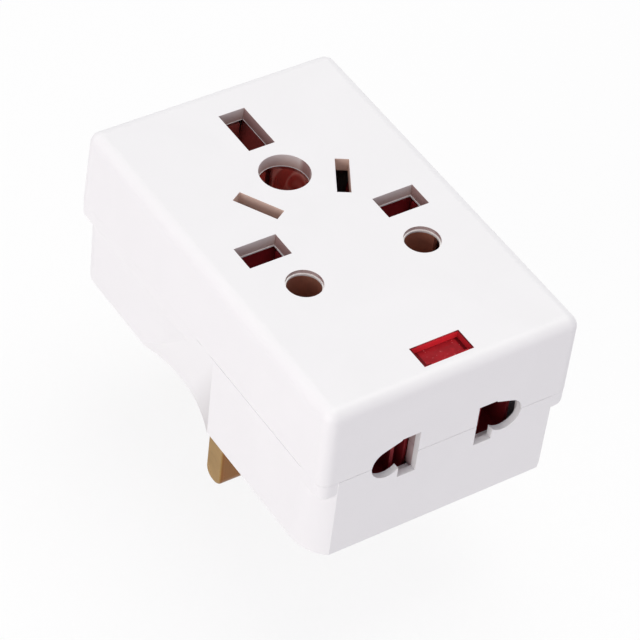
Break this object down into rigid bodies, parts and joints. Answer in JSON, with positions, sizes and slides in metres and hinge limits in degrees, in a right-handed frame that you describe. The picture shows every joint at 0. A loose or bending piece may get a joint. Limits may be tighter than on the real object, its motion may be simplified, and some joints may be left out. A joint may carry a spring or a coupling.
{
  "type": "multi socket adapter",
  "caption": "White plug-in mains adapter with flat plug pins below, a universal socket face with a red indicator lens above, and a further socket for round pins or blades in its front end.",
  "frame": {"origin": "on the plug face, midway between the line and neutral pins", "axes": "+Z out of the universal socket face and away from the plug pins, -Y out of the two-pin end socket"},
  "size_m": [0.04, 0.0635, 0.0503],
  "materials": {
    "shell": "satin white moulding",
    "lens": "clear red",
    "lamp": "clear",
    "resistor": "lacquered",
    "wire": "tinned",
    "pins": "polished",
    "strips": "rolled",
    "contacts": "rolled phosphor bronze",
    "fuse_tube": "unglazed ceramic",
    "fuse_metal": "nickel plated",
    "rivets": "upset",
    "screws": "zinc plated"
  },
  "bodies": {
    "root": {"top_shell": "shell", "base_shell": "shell", "indicator_lens": "lens", "neon_lamp": "lamp", "neon_resistor": "resistor", "lamp_leads": "wire", "line_pin": "pins", "neutral_pin": "pins", "earth_pin": "pins", "line_feed": "strips", "line_link": "strips", "line_bus": "strips", "neutral_bus": "strips", "earth_bus": "strips", "line_socket_clip": "contacts", "neutral_socket_clip": "contacts", "earth_slot_clip": "contacts", "line_blade_clip": "contacts", "neutral_blade_clip": "contacts", "line_round_sleeve": "contacts", "neutral_round_sleeve": "contacts", "earth_round_sleeve": "contacts", "line_end_clip": "contacts", "neutral_end_clip": "contacts", "fuse_body": "fuse_tube", "fuse_caps": "fuse_metal", "fuse_clips": "contacts", "contact_rivets": "rivets", "case_screws": "screws"}
  },
  "joints": []
}
